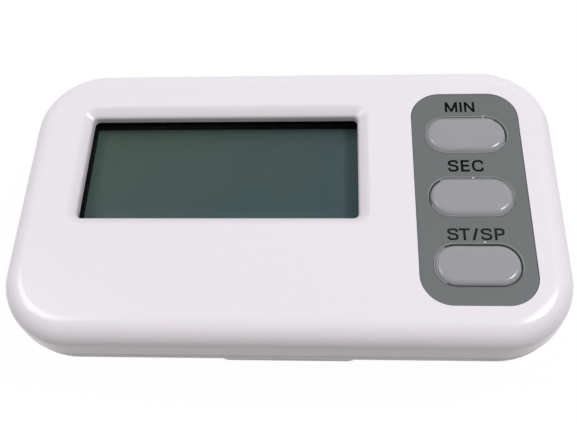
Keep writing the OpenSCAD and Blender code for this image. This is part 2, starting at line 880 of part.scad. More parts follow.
// Opening for the door, its bayonet channel and the well for the cell
module door_cuts() {
    mouth_a = door_lug_a + 2 * channel_spare_a;
    channel_a = mouth_a + door_turn;
    start_a = -door_turn - mouth_a / 2;
    translate([door_x, door_y, 0]) {
        cylinder(r = door_r + run, h = well_flange_z);
        cylinder(r = well_r, h = face_z);
        for (side = [0, 180]) rotate(side) {
            rotate(start_a) rotate_extrude(angle = channel_a)
                translate([0, lug_low_z - run])
                    square([door_lug_r + run, door_lug_t + 2 * run]);
            rotate(start_a) rotate_extrude(angle = mouth_a)
                square([door_lug_r + run, lug_low_z + door_lug_t]);
        }
        // Slot beside the can for the positive contact
        translate([-contact_w / 2 - run, 0, well_flange_z])
            cube([contact_w + 2 * run, cell_r + fit + contact_t + run, face_z]);
    }
}

module sound_holes() {
    translate([buzzer_x, buzzer_y, 0]) {
        cylinder(r = sound_hole_r, h = buzzer_z);
        for (i = [0 : sound_ring_holes - 1]) rotate(360 * i / sound_ring_holes)
            translate([sound_ring_r, 0, 0]) cylinder(r = sound_hole_r, h = buzzer_z);
    }
}

// Round door with two bayonet lugs and a coin slot
module cell_door() {
    color(white) translate([door_x, door_y, 0]) difference() {
        union() {
            translate([0, 0, back_z]) cylinder(r = door_r, h = door_skirt_z - back_z);
            for (side = [0, 180]) rotate(side - door_lug_a / 2)
                rotate_extrude(angle = door_lug_a) translate([0, lug_low_z])
                    square([door_lug_r, door_lug_t]);
        }
        translate([0, 0, door_inner_z]) cylinder(r = well_r + run, h = door_t);
        translate([0, 0, back_z - eps]) linear_extrude(coin_slot_depth + eps)
            rounded_outline(coin_slot_l, coin_slot_w, coin_slot_w / 2 - eps);
    }
}

// Side profile of one clip lug, round the pin
module lug_profile() {
    translate([pin_y, pin_z]) circle(lug_r);
    translate([pin_y - lug_r, clip_t - eps]) square([2 * lug_r, pin_z - clip_t]);
}

// Clip plate and wider leg with hinge lugs, jaw teeth, thumb grooves and magnet pocket
module clip() {
    clip_l = clip_tip + clip_thumb;
    color(white) difference() {
        union() {
            translate([0, (clip_thumb - clip_tip) / 2, clip_t]) mirror([0, 0, 1])
                soft_plate(clip_w, clip_l, clip_r, clip_t, clip_edge_r);
            translate([0, (leg_top - clip_tip) / 2, clip_t]) mirror([0, 0, 1])
                soft_plate(leg_w, leg_top + clip_tip, clip_r, clip_t, clip_edge_r);
            for (side = [-1, 1]) translate([side * (lug_in + lug_t / 2) - lug_t / 2, 0, 0])
                rotate([90, 0, 90]) linear_extrude(lug_t) lug_profile();
            for (i = [0 : tooth_count - 1]) translate([0, tooth_in - clip_tip + i * tooth_pitch, 0])
                jaw_tooth();
        }
        translate([-clip_w, pin_y, pin_z]) rotate([0, 90, 0])
            cylinder(r = pin_r + run / 2, h = 2 * clip_w);
        translate([0, magnet_y, -eps]) cylinder(r = magnet_r + fit, h = magnet_t + eps);
        for (i = [0 : groove_count - 1])
            translate([0, clip_thumb - groove_in - i * groove_pitch, 0]) thumb_groove();
        // Lead-in on the inside of the jaw's tip
        translate([-leg_w / 2 - 1, -clip_tip, clip_t]) rotate([90, 0, 90])
            linear_extrude(leg_w + 2)
                polygon([[-1, -jaw_bevel], [0, -jaw_bevel], [jaw_lead, eps], [-1, eps]]);
    }
}

// Tooth across the jaw that closes on the case
module jaw_tooth() {
    tooth_h = back_z - clip_t - jaw_gap;
    tooth_w = leg_w - 2 * clip_r;
    translate([-tooth_w / 2, 0, clip_t]) rotate([90, 0, 90]) linear_extrude(tooth_w)
        polygon([[-tooth_foot / 2, -eps], [-tooth_tip / 2, tooth_h], [tooth_tip / 2, tooth_h],
            [tooth_foot / 2, -eps]]);
}

// Round groove across the thumb end
module thumb_groove() {
    groove_l = clip_w - 2 * clip_r;
    translate([-groove_l / 2, 0, groove_depth - groove_r]) rotate([0, 90, 0])
        cylinder(r = groove_r, h = groove_l);
}

module clip_magnet() {
    color("#4a4a4c") translate([0, magnet_y, 0]) cylinder(r = magnet_r, h = magnet_t);
}

module clip_pin() {
    color(steel) translate([-pin_l / 2, pin_y, pin_z]) rotate([0, 90, 0])
        cylinder(r = pin_r, h = pin_l);
}

// Turns of the clip spring as angle, place along X and length of leg
spring_steps = clip_curls * 8 + 4;
function spring_angle(i) = 90 + 45 * i;
function spring_x(i) = clip_pitch * (i / 8 - (clip_curls + 0.5) / 2);
function spring_side(i) = [0, cos(spring_angle(i)), sin(spring_angle(i))];
function spring_point(i) = [spring_x(i), pin_y, coil_z] + coil_r * spring_side(i);
function spring_points() = concat(
    [spring_point(0) + [0, clip_leg, 0], spring_point(0) + [0, clip_wire, 0]],
    [for (i = [0 : spring_steps]) spring_point(i)],
    [spring_point(spring_steps) + [0, clip_wire, 0], spring_point(spring_steps) + [0, clip_leg, 0]]);
function spring_sides() = concat(
    [spring_side(0), spring_side(0)],
    [for (i = [0 : spring_steps]) spring_side(i)],
    [spring_side(spring_steps), spring_side(spring_steps)]);

// Torsion spring round the pin that holds the jaw closed
module clip_spring() {
    echo(clip_spring_gap = wire_gap(spring_points(), clip_wire));
    color(steel) wire_tube(spring_points(), spring_sides(), clip_wire);
}

front_case();
display_window();
display_spacer();
lcd_front_film();
lcd_front_glass();
lcd_rear_glass();
lcd_rear_film();
zebra_strip();
key_panel();
minute_key();
second_key();
start_stop_key();
key_mat();
minute_contact();
second_contact();
start_stop_contact();
circuit_board();
chip_cover();
quartz_crystal();
board_components();
board_screws();
buzzer_plate();
buzzer_ceramic();
buzzer_springs();
cell_can();
cell_cap();
positive_contact();
negative_contact();
rear_case();
case_screws();
cell_door();
clip();
clip_magnet();
clip_pin();
clip_spring();
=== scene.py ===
# Looks of a small digital timer: moulded case, blank display, grey keys, clip, springs and inner parts.
import bpy
import json
from math import radians
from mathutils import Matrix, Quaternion, Vector


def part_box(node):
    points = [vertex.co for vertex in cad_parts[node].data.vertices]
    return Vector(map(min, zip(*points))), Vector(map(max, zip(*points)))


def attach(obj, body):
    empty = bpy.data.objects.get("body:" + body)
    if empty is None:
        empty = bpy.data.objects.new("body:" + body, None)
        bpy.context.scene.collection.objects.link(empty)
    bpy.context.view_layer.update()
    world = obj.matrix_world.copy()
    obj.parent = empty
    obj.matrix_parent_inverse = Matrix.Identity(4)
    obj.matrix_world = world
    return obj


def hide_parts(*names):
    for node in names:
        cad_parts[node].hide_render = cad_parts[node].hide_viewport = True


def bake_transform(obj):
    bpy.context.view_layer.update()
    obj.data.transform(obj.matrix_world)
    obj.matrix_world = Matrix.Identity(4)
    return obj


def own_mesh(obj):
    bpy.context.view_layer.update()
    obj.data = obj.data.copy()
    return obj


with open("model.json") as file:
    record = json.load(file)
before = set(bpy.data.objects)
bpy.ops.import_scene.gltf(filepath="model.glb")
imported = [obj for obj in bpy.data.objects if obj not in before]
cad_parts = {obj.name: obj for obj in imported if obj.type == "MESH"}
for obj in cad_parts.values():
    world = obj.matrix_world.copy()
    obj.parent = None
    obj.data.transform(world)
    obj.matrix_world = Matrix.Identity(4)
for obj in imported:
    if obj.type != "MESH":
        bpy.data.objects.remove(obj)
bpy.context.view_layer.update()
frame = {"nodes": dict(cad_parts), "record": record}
nodes = frame["nodes"]
mm = 0.001
print("frame loaded:", len(nodes), "nodes")


# Steps of a node tree

def cloud(tree, place, size, detail=3.0, stretch=(1, 1, 1)):  # soft patches about this wide, in mm
    if stretch != (1, 1, 1):
        turn = tree.nodes.new("ShaderNodeMapping")
        turn.inputs["Scale"].default_value = stretch
        tree.links.new(place, turn.inputs["Vector"])
        place = turn.outputs["Vector"]
    noise = tree.nodes.new("ShaderNodeTexNoise")
    noise.inputs["Scale"].default_value = 1 / (size * mm)
    noise.inputs["Detail"].default_value = detail
    tree.links.new(place, noise.inputs["Vector"])
    return noise.outputs["Fac"]


def spread(tree, value, low, high, start=0.3, end=0.7):
    remap = tree.nodes.new("ShaderNodeMapRange")
    for socket, number in (("From Min", start), ("From Max", end), ("To Min", low), ("To Max", high)):
        remap.inputs[socket].default_value = number
    tree.links.new(value, remap.inputs["Value"])
    return remap.outputs["Result"]


def tint(tree, amount, first, second, blend="MIX"):  # each colour is three numbers or a socket
    mix = tree.nodes.new("ShaderNodeMix")
    mix.data_type = "RGBA"
    mix.blend_type = blend
    tree.links.new(amount, mix.inputs["Factor"])
    for socket, colour in ((mix.inputs[6], first), (mix.inputs[7], second)):
        if isinstance(colour, tuple):
            socket.default_value = (*colour, 1)
        else:
            tree.links.new(colour, socket)
    return mix.outputs[2]


def reckon(tree, operation, first, second=0.0):
    step = tree.nodes.new("ShaderNodeMath")
    step.operation = operation
    for socket, value in ((step.inputs[0], first), (step.inputs[1], second)):
        if isinstance(value, (int, float)):
            socket.default_value = value
        else:
            tree.links.new(value, socket)
    return step.outputs[0]


def awayFrom(tree, value, middle):
    return reckon(tree, "ABSOLUTE", reckon(tree, "SUBTRACT", value, middle))


def axesOf(tree, place):
    split = tree.nodes.new("ShaderNodeSeparateXYZ")
    tree.links.new(place, split.inputs[0])
    return split.outputs


def pickShader(tree, share, first, second, output):  # the second one where the share is 1
    pick = tree.nodes.new("ShaderNodeMixShader")
    for socket, source in zip(pick.inputs, (share, first.outputs[0], second.outputs[0])):
        tree.links.new(source, socket)
    tree.links.new(pick.outputs[0], tree.nodes[output].inputs["Surface"])


def relief(tree, shader, height, depth):  # depth in mm
    bump = tree.nodes.new("ShaderNodeBump")
    bump.inputs["Strength"].default_value = 1.0
    bump.inputs["Distance"].default_value = depth * mm
    tree.links.new(height, bump.inputs["Height"])
    tree.links.new(bump.outputs["Normal"], shader.inputs["Normal"])


def specks(tree, place, apart, radius, share):  # 1 on a few tiny dots
    cells = tree.nodes.new("ShaderNodeTexVoronoi")
    cells.inputs["Scale"].default_value = 1 / (apart * mm)
    tree.links.new(place, cells.inputs["Vector"])
    dot = reckon(tree, "LESS_THAN", cells.outputs["Distance"], radius / apart)
    lucky = tree.nodes.new("ShaderNodeSeparateColor")
    tree.links.new(cells.outputs["Color"], lucky.inputs["Color"])
    return reckon(tree, "MULTIPLY", dot, reckon(tree, "LESS_THAN", lucky.outputs[0], share))


# Stage

cameraLook = {
    "place": (5.96, -47.69, 92.36),        # mm, in the frame of the part
    "toward": (-0.0617, 0.4920, -0.8684),
    "roll": -6.2,
    "lens": 49.9,
    "nearest": 5.0,                        # mm, where the view starts
}

lampLooks = {  # distances and sizes in mm
    "lampLeft": {"side": (-0.54, 0.13, 0.83), "away": 600, "wide": 240, "high": 240, "watts": 0.88},
    "lampRight": {"side": (0.53, 0.06, 0.84), "away": 600, "wide": 170, "high": 170, "watts": 1.62},
}

airLook = {
    "front": (0.36, 0.335, 0.325), "back": (0.50, 0.50, 0.515), "turn": (-0.7, 0.5),
    "seen": (1.0, 1.0, 1.0),
}
floorLook = {"size": 3000, "pale": (0.29, 0.275, 0.27), "seenWhite": 0.90, "glow": 1.085}


def addCamera(look):
    bpy.ops.object.camera_add(location=Vector(look["place"]) * mm)
    camera = bpy.context.object
    camera.name = "photoCamera"
    camera.rotation_mode = "QUATERNION"
    aim = Vector(look["toward"]).to_track_quat("-Z", "Y")
    camera.rotation_quaternion = aim @ Quaternion((0, 0, 1), radians(look["roll"]))
    camera.data.lens = look["lens"]
    camera.data.clip_start = look["nearest"] * mm
    bpy.context.scene.camera = camera


def addLamp(name, look):
    side = Vector(look["side"]).normalized()
    bpy.ops.object.light_add(type="AREA", location=side * look["away"] * mm)
    lamp = bpy.context.object
    lamp.name = name
    lamp.rotation_mode = "QUATERNION"
    lamp.rotation_quaternion = (-side).to_track_quat("-Z", "Y")
    lamp.data.shape = "RECTANGLE"
    lamp.data.size = look["wide"] * mm
    lamp.data.size_y = look["high"] * mm
    lamp.data.energy = look["watts"]


def seenDirectly(tree):  # 1 where the camera, a reflection or a clear piece looks
    rays = tree.nodes.new("ShaderNodeLightPath").outputs
    direct = reckon(tree, "MAXIMUM", rays["Is Camera Ray"], rays["Is Glossy Ray"])
    return reckon(tree, "MAXIMUM", direct, rays["Is Transmission Ray"])


def lightAir(look):
    world = bpy.data.worlds.new("studioAir")
    bpy.context.scene.world = world
    world.use_nodes = True
    tree = world.node_tree
    fill = tree.nodes["Background"]
    axes = axesOf(tree, tree.nodes.new("ShaderNodeTexCoord").outputs["Generated"])
    toBack = spread(tree, axes["Y"], 0.0, 1.0, *look["turn"])
    tree.links.new(tint(tree, toBack, look["front"], look["back"]), fill.inputs["Color"])
    backdrop = tree.nodes.new("ShaderNodeBackground")
    backdrop.inputs["Color"].default_value = (*look["seen"], 1)
    pickShader(tree, seenDirectly(tree), fill, backdrop, "World Output")


def layFloor(look):
    bpy.ops.mesh.primitive_plane_add(size=look["size"] * mm)
    floor = bpy.context.object
    floor.name = "floor"
    paper = bpy.data.materials.new("whitePaper")
    paper.use_nodes = True
    tree = paper.node_tree
    tree.nodes.remove(tree.nodes["Principled BSDF"])
    sheet = tree.nodes.new("ShaderNodeBsdfDiffuse")
    sheet.inputs["Color"].default_value = (*look["pale"], 1)
    glow = tree.nodes.new("ShaderNodeEmission")
    glow.inputs["Strength"].default_value = look["glow"]
    share = reckon(tree, "MULTIPLY", seenDirectly(tree), look["seenWhite"])
    pickShader(tree, share, sheet, glow, "Material Output")
    floor.data.materials.append(paper)


bpy.ops.object.select_all(action="DESELECT")
addCamera(cameraLook)
for lampName, lampLook in lampLooks.items():
    addLamp(lampName, lampLook)
lightAir(airLook)
layFloor(floorLook)
bpy.context.scene.view_settings.view_transform = "Standard"
print("stage set:", len(lampLooks), "lamps, air, floor and camera")


# Finishes: patterns lie on Object coordinates, and their sizes are in mm

def startFinish(name, look):
    finish = bpy.data.materials.new(name)
    finish.use_nodes = True
    tree = finish.node_tree
    shader = tree.nodes["Principled BSDF"]
    for socket, value in look.get("sockets", {}).items():
        shader.inputs[socket].default_value = value
    place = tree.nodes.new("ShaderNodeTexCoord").outputs["Object"]
    return finish, tree, shader, place


def patchySheen(tree, shader, place, look):
    patches = cloud(tree, place, look["sheenPatch"])
    tree.links.new(spread(tree, patches, *look["roughness"]), shader.inputs["Roughness"])


# Painted shade in the hairline round a case, where its two shells meet; sizes in mm
def partingLineShade(tree, place, colour, height, wide, shade):
    away = awayFrom(tree, axesOf(tree, place)["Z"], height * mm)
    seamShadeMask = spread(tree, away, 1.0, 0.0, wide / 4 * mm, wide / 2 * mm)
    return tint(tree, seamShadeMask, colour, shade, "MULTIPLY")


# Painted shade below the rim of a recess, darker towards its foot; sizes in mm
def paintedRecessShade(tree, place, colour, middle, reach, top, depth, shade):
    axes = axesOf(tree, place)
    recessShadeMask = spread(tree, axes["Z"], 1.0, 0.0, (top - depth) * mm, top * mm)
    for axis, centre, limit in zip("XY", middle, reach):
        inReach = reckon(tree, "LESS_THAN", awayFrom(tree, axes[axis], centre * mm), limit * mm)
        recessShadeMask = reckon(tree, "MULTIPLY", recessShadeMask, inReach)
    return tint(tree, recessShadeMask, colour, shade, "MULTIPLY")


def mouldedPlastic(name, look):  # soft colour patches, sheen patches, mould grain and dust
    finish, tree, shader, place = startFinish(name, look)
    colour = tint(tree, cloud(tree, place, look["patch"]), look["base"], look["shade"])
    # painted shade: a dark hairline round the case at the seam
    if "seam" in look:
        colour = partingLineShade(tree, place, colour, *look["seam"])
    # painted shade: the recess grows darker towards its foot
    if "recess" in look:
        colour = paintedRecessShade(tree, place, colour, *look["recess"])
    if "dust" in look:
        colour = tint(tree, specks(tree, place, *look["dust"]), colour, look["dustColour"])
    tree.links.new(colour, shader.inputs["Base Color"])
    patchySheen(tree, shader, place, look)
    relief(tree, shader, cloud(tree, place, look["grain"], detail=2.0), look["grainDepth"])
    return finish


def platedMetal(name, look):  # fine drawn lines in the sheen and a little tarnish
    finish, tree, shader, place = startFinish(name, look)
    shader.inputs["Metallic"].default_value = 1.0
    colour = tint(tree, cloud(tree, place, look["patch"]), look["base"], look["tarnish"])
    tree.links.new(colour, shader.inputs["Base Color"])
    lines = cloud(tree, place, look["line"], detail=2.0, stretch=look["drawn"])
    tree.links.new(spread(tree, lines, *look["roughness"]), shader.inputs["Roughness"])
    relief(tree, shader, lines, look["lineDepth"])
    return finish


# Clear piece that light passes straight, so that what lies under it has no grain
def clearSheet(name, look):
    finish, tree, shader, place = startFinish(name, look)
    colour = tint(tree, cloud(tree, place, look["patch"]), look["base"], look["shade"])
    tree.links.new(colour, shader.inputs["Base Color"])
    patchySheen(tree, shader, place, look)
    through = tree.nodes.new("ShaderNodeBsdfTransparent")
    through.inputs["Color"].default_value = (*look["base"], 1)
    rays = tree.nodes.new("ShaderNodeLightPath").outputs
    lightOnly = reckon(tree, "MAXIMUM", rays["Is Shadow Ray"], rays["Is Diffuse Ray"])
    pickShader(tree, lightOnly, shader, through, "Material Output")
    return finish


# dust: distance apart, radius, share of the dots; seam: height, width, painted shade;
# recess: middle, reach to the sides, top, depth, painted shade
caseSeamShade = (9.5, 0.20, (0.66, 0.64, 0.64))
caseWhite = {
    "base": (0.81, 0.775, 0.825), "shade": (0.80, 0.768, 0.815), "patch": 14.0,
    "dust": (4.0, 0.07, 0.004), "dustColour": (0.40, 0.37, 0.38),
    "seam": caseSeamShade,
    # the bezel round the display gets painted shade, darker down its slope
    "recess": ((-7.95, 3.9), (20.0, 10.0), 14.2, 0.8, (0.82, 0.82, 0.81)),
    "sheenPatch": 9.0, "roughness": (0.18, 0.21), "grain": 0.22, "grainDepth": 0.0006,
    "sockets": {"IOR": 1.5, "Subsurface Weight": 0.04, "Subsurface Scale": 0.0006},
}
# A greyer copy of the case white: painted shade on the rear shell, which lies low by the floor
rearWhiteShaded = {  # the rear shell is a little greyer, with a fine matt texture
    "base": (0.765, 0.73, 0.77), "shade": (0.75, 0.718, 0.757), "patch": 11.0,
    "dust": (3.0, 0.07, 0.01), "dustColour": (0.40, 0.37, 0.38),
    "seam": caseSeamShade,
    "sheenPatch": 5.0, "roughness": (0.36, 0.44), "grain": 0.14, "grainDepth": 0.0016,
    "sockets": {"Specular IOR Level": 0.18, "Subsurface Weight": 0.04, "Subsurface Scale": 0.0006},
}
panelGrey = {
    "base": (0.126, 0.137, 0.136), "shade": (0.119, 0.130, 0.129), "patch": 4.0,
    "sheenPatch": 1.5, "roughness": (0.46, 0.56), "grain": 0.12, "grainDepth": 0.0022,
    "sockets": {"IOR": 1.45},
}
keyGrey = {
    "base": (0.305, 0.310, 0.327), "shade": (0.294, 0.300, 0.314), "patch": 5.0,
    "sheenPatch": 1.5, "roughness": (0.13, 0.17), "grain": 0.18, "grainDepth": 0.0003,
    "sockets": {"IOR": 1.5},
}
spacerBlack = {
    "base": (0.004, 0.004, 0.005), "shade": (0.008, 0.008, 0.009), "patch": 1.2,
    "sheenPatch": 0.8, "roughness": (0.80, 0.92), "grain": 0.10, "grainDepth": 0.008,
    "sockets": {"Specular IOR Level": 0.1},
}
resinBlack = {
    "base": (0.010, 0.010, 0.011), "shade": (0.016, 0.015, 0.016), "patch": 1.5,
    "sheenPatch": 1.0, "roughness": (0.12, 0.24), "grain": 0.8, "grainDepth": 0.006,
}
componentTan = {
    "base": (0.47, 0.38, 0.25), "shade": (0.36, 0.27, 0.16), "patch": 0.6,
    "sheenPatch": 0.5, "roughness": (0.45, 0.60), "grain": 0.08, "grainDepth": 0.002,
}
rubberDark = {
    "base": (0.030, 0.030, 0.032), "shade": (0.046, 0.046, 0.048), "patch": 0.7,
    "sheenPatch": 0.6, "roughness": (0.62, 0.80), "grain": 0.09, "grainDepth": 0.003,
}
rubberPale = {
    "base": (0.58, 0.59, 0.60), "shade": (0.50, 0.51, 0.53), "patch": 2.0,
    "dust": (0.9, 0.05, 0.3), "dustColour": (0.75, 0.75, 0.75),
    "sheenPatch": 1.0, "roughness": (0.52, 0.66), "grain": 0.12, "grainDepth": 0.002,
    "sockets": {"Subsurface Weight": 0.15, "Subsurface Scale": 0.0008},
}
ceramicPale = {
    "base": (0.68, 0.65, 0.57), "shade": (0.58, 0.55, 0.48), "patch": 1.0,
    "sheenPatch": 0.6, "roughness": (0.32, 0.45), "grain": 0.06, "grainDepth": 0.002,
}
magnetDark = {
    "base": (0.070, 0.070, 0.073), "shade": (0.048, 0.048, 0.050), "patch": 0.9,
    "dust": (1.1, 0.10, 0.25), "dustColour": (0.16, 0.15, 0.14),
    "sheenPatch": 0.7, "roughness": (0.40, 0.58), "grain": 0.10, "grainDepth": 0.005,
}
filmSilver = {
    "base": (0.40, 0.43, 0.41), "shade": (0.46, 0.48, 0.46), "patch": 3.0,
    "sheenPatch": 0.4, "roughness": (0.30, 0.40), "grain": 0.06, "grainDepth": 0.001,
}
screwSteel = {
    "base": (0.50, 0.51, 0.53), "tarnish": (0.42, 0.41, 0.38), "patch": 0.6,
    "line": 0.12, "drawn": (1, 1, 0.2), "roughness": (0.24, 0.40), "lineDepth": 0.0015,
}
brightMetal = {
    "base": (0.60, 0.61, 0.62), "tarnish": (0.55, 0.55, 0.54), "patch": 1.5,
    "line": 0.10, "drawn": (0.15, 1, 1), "roughness": (0.14, 0.26), "lineDepth": 0.0008,
}
contactBrass = {
    "base": (0.58, 0.36, 0.09), "tarnish": (0.44, 0.26, 0.07), "patch": 1.4,
    "line": 0.10, "drawn": (0.15, 1, 1), "roughness": (0.22, 0.36), "lineDepth": 0.001,
}
windowClear = {  # the gloss is on the film below, where it has no grain
    "base": (0.96, 0.98, 0.97), "shade": (0.93, 0.96, 0.95), "patch": 12.0,
    "sheenPatch": 4.0, "roughness": (0.01, 0.04),
    "sockets": {"Transmission Weight": 1.0, "IOR": 1.04},
}
lcdGlass = {
    "base": (0.62, 0.72, 0.68), "shade": (0.56, 0.66, 0.62), "patch": 8.0,
    "sheenPatch": 3.0, "roughness": (0.02, 0.06),
    "sockets": {"Transmission Weight": 1.0, "IOR": 1.5},
}

plastics = {
    "case_white": caseWhite, "panel_grey": panelGrey, "key_grey": keyGrey, "spacer_black": spacerBlack,
    "resin_black": resinBlack, "component_tan": componentTan, "rubber_dark": rubberDark,
    "rubber_pale": rubberPale, "buzzer_ceramic": ceramicPale, "magnet_dark": magnetDark,
    "film_silver": filmSilver,
}
metals = {"screw_steel": screwSteel, "bright_metal": brightMetal, "contact_brass": contactBrass}
clears = {"window_clear": windowClear, "lcd_glass": lcdGlass}

finishes = {}
for makeFinish, group in ((mouldedPlastic, plastics), (platedMetal, metals), (clearSheet, clears)):
    for slotName, slotLook in group.items():
        finishes[slotName] = makeFinish(slotName, slotLook)


# Dark film of the blank display: greener at the upper left, bluer at the lower right, with painted light
# along the sides and the foot that lifts the shade there, and a faint inner field
filmDark = {
    "green": (0.059, 0.084, 0.070), "blue": (0.0465, 0.0745, 0.090), "turn": 1.6, "patch": 7.0,
    "drift": 0.5, "field": (0.96, 1.0, 0.97), "fieldInset": (2.6, 2.4), "fieldSoft": 0.25,
    # glow: painted light along the sides and the foot
    "glow": 0.35, "paintedLightReach": (0.4, 3.2), "paintedLightColour": (1.0, 1.0, 1.0),
    "sheenPatch": 2.0, "roughness": (0.30, 0.38), "sockets": {"Specular IOR Level": 0.20},
}


def displayFilm(name, look, node):
    finish, tree, shader, place = startFinish(name, look)
    low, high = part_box(node)
    middle = (low + high) / 2
    halfSize = (high - low) / 2
    axes = axesOf(tree, place)
    fromMiddleX = reckon(tree, "SUBTRACT", axes["X"], middle.x)
    fromMiddleY = reckon(tree, "SUBTRACT", axes["Y"], middle.y)
    sideGap = reckon(tree, "SUBTRACT", halfSize.x, reckon(tree, "ABSOLUTE", fromMiddleX))
    rimGap = reckon(tree, "SUBTRACT", halfSize.y, reckon(tree, "ABSOLUTE", fromMiddleY))
    footGap = reckon(tree, "ADD", halfSize.y, fromMiddleY)

    slant = reckon(tree, "SUBTRACT", reckon(tree, "DIVIDE", fromMiddleX, halfSize.x),
                   reckon(tree, "DIVIDE", fromMiddleY, halfSize.y))
    drift = spread(tree, cloud(tree, place, look["patch"]), -look["drift"], look["drift"])
    bluer = spread(tree, reckon(tree, "ADD", slant, drift), 0.0, 1.0, -look["turn"], look["turn"])
    colour = tint(tree, bluer, look["green"], look["blue"])

    insetX, insetY = (inset * mm for inset in look["fieldInset"])
    inside = reckon(tree, "MINIMUM", reckon(tree, "SUBTRACT", sideGap, insetX),
                    reckon(tree, "SUBTRACT", rimGap, insetY))
    inField = spread(tree, inside, 0.0, 1.0, 0.0, look["fieldSoft"] * mm)
    colour = tint(tree, inField, colour, look["field"], "MULTIPLY")

    # painted light: the film grows paler towards its sides and foot, where the window's rim shades it
    near, far = (reach * mm for reach in look["paintedLightReach"])
    glow = spread(tree, reckon(tree, "MINIMUM", sideGap, footGap), look["glow"], 0.0, near, far)
    colour = tint(tree, glow, colour, look["paintedLightColour"], "DODGE")
    tree.links.new(colour, shader.inputs["Base Color"])
    patchySheen(tree, shader, place, look)
    return finish


finishes["film_dark"] = displayFilm("film_dark", filmDark, "lcd_front_film")


# Green board: copper tracks under the lacquer, and the weave of the laminate
boardGreen = {
    "lacquer": (0.030, 0.140, 0.045), "track": (0.055, 0.230, 0.070),
    "trackScale": 200.0, "trackLevel": 0.86, "bend": 6.0, "bendScale": 0.4, "wander": 6.0,
    "weave": 0.35, "weaveDepth": 0.004, "sheenPatch": 1.2, "roughness": (0.26, 0.36),
}


def laminate(name, look):
    finish, tree, shader, place = startFinish(name, look)
    bands = tree.nodes.new("ShaderNodeTexWave")
    bands.wave_type = "BANDS"
    bands.bands_direction = "DIAGONAL"
    bands.inputs["Scale"].default_value = look["trackScale"]
    bands.inputs["Distortion"].default_value = look["bend"]
    bands.inputs["Detail"].default_value = 0.0
    bands.inputs["Detail Scale"].default_value = look["bendScale"]
    tree.links.new(place, bands.inputs["Vector"])
    wander = cloud(tree, place, look["wander"], detail=1.0)
    paths = reckon(tree, "ADD", bands.outputs["Fac"], wander)
    track = reckon(tree, "LESS_THAN", paths, look["trackLevel"])
    tree.links.new(tint(tree, track, look["lacquer"], look["track"]), shader.inputs["Base Color"])
    patchySheen(tree, shader, place, look)
    weave = cloud(tree, place, look["weave"], detail=1.0)
    relief(tree, shader, reckon(tree, "ADD", track, weave), look["weaveDepth"])
    return finish


finishes["board_green"] = laminate("board_green", boardGreen)

for row in frame["record"]["subparts"]:
    shown = nodes[row["node"]]
    shown.data.materials.clear()
    shown.data.materials.append(finishes[row["material_slot"]])
# the rear shell takes the greyer copy of the case white, which paints shade on it
nodes["rear_case"].data.materials[0] = mouldedPlastic("case_white_rear_shaded", rearWhiteShaded)
print("finishes made:", len(finishes))


# Pieces modelled one by one

smoothAngle = 35   # degrees
mergeShare = 0.02  # of the radius of a round bead


def selectOnly(*pieces):  # the first one is active
    bpy.ops.object.select_all(action="DESELECT")
    for piece in pieces:
        piece.select_set(True)
    bpy.context.view_layer.objects.active = pieces[0]


# The body is a name, to which the piece is attached, or two names with a point at each end, which are
# not used: the piece is then only baked in place
def finishPiece(piece, name, body, slotName, *replaced):
    piece.name = name
    selectOnly(piece)
    bpy.ops.object.transform_apply(location=True, rotation=True, scale=True)
    bpy.ops.object.shade_smooth_by_angle(angle=radians(smoothAngle))
    piece.data.materials.clear()
    piece.data.materials.append(finishes[slotName])
    if isinstance(body, str):
        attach(piece, body)
    else:
        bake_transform(piece)
    if replaced:
        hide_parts(*replaced)
    print("piece made:", name)


def joinPieces(pieces):  # into the first of them
    selectOnly(*pieces)
    bpy.ops.object.transform_apply(location=True, rotation=True, scale=True)
    bpy.ops.object.join()


def applyAll(piece):
    selectOnly(piece)
    for modifier in list(piece.modifiers):
        bpy.ops.object.modifier_apply(modifier=modifier.name)


def mendSurface(mergeWithin=0.0):  # joins points this close and turns all faces outwards
    bpy.ops.object.mode_set(mode="EDIT")
    bpy.ops.mesh.select_all(action="SELECT")
    if mergeWithin:
        bpy.ops.mesh.remove_doubles(threshold=mergeWithin)
    bpy.ops.mesh.normals_make_consistent(inside=False)
    bpy.ops.object.mode_set(mode="OBJECT")


def thicken(line, radius, steps):  # turns the active curve into a round bead with closed ends
    line.data.bevel_depth = radius
    line.data.bevel_resolution = steps
    line.data.use_fill_caps = True
    bpy.ops.object.convert(target="MESH")
    mendSurface(radius * mergeShare)


# Round wire wound about the X axis, starting at the top; sizes in mm
def windWire(wire, coilR, pitch, turns, sides=16, steps=32):
    bpy.ops.object.select_all(action="DESELECT")
    bpy.ops.mesh.primitive_circle_add(vertices=sides, radius=wire / 2 * mm,
                                      location=(0, 0, coilR * mm), rotation=(radians(90), 0, 0))
    coil = bpy.context.object
    bpy.ops.object.transform_apply(location=True, rotation=True, scale=True)
    winding = coil.modifiers.new("winding", "SCREW")
    winding.axis = "X"
    winding.angle = radians(360 * turns)
    winding.screw_offset = pitch * turns * mm
    winding.steps = winding.render_steps = round(steps * turns)
    applyAll(coil)
    return coil


def selectEnd(coil, atStart):  # the open ring at one end of a wound wire
    bpy.ops.object.mode_set(mode="EDIT")
    bpy.ops.mesh.select_mode(type="VERT")
    bpy.ops.mesh.select_all(action="DESELECT")
    bpy.ops.mesh.select_non_manifold(extend=False)
    bpy.ops.object.mode_set(mode="OBJECT")
    middle = sum(v.co.x for v in coil.data.vertices) / len(coil.data.vertices)
    for vertex in coil.data.vertices:
        vertex.select = vertex.select and (vertex.co.x < middle) == atStart
    for edge in coil.data.edges:
        edge.select = all(coil.data.vertices[i].select for i in edge.vertices)
    bpy.ops.object.mode_set(mode="EDIT")


def closeEnds(coil):
    for atStart in (True, False):
        selectEnd(coil, atStart)
        bpy.ops.mesh.edge_face_add()
        bpy.ops.object.mode_set(mode="OBJECT")
    mendSurface()


clipSpringLook = {
    "wire": 0.5, "coilR": 1.475, "pitch": 0.95, "turns": 4.5, "leg": 4.5, "axisY": 5.0, "axisZ": 3.375,
}


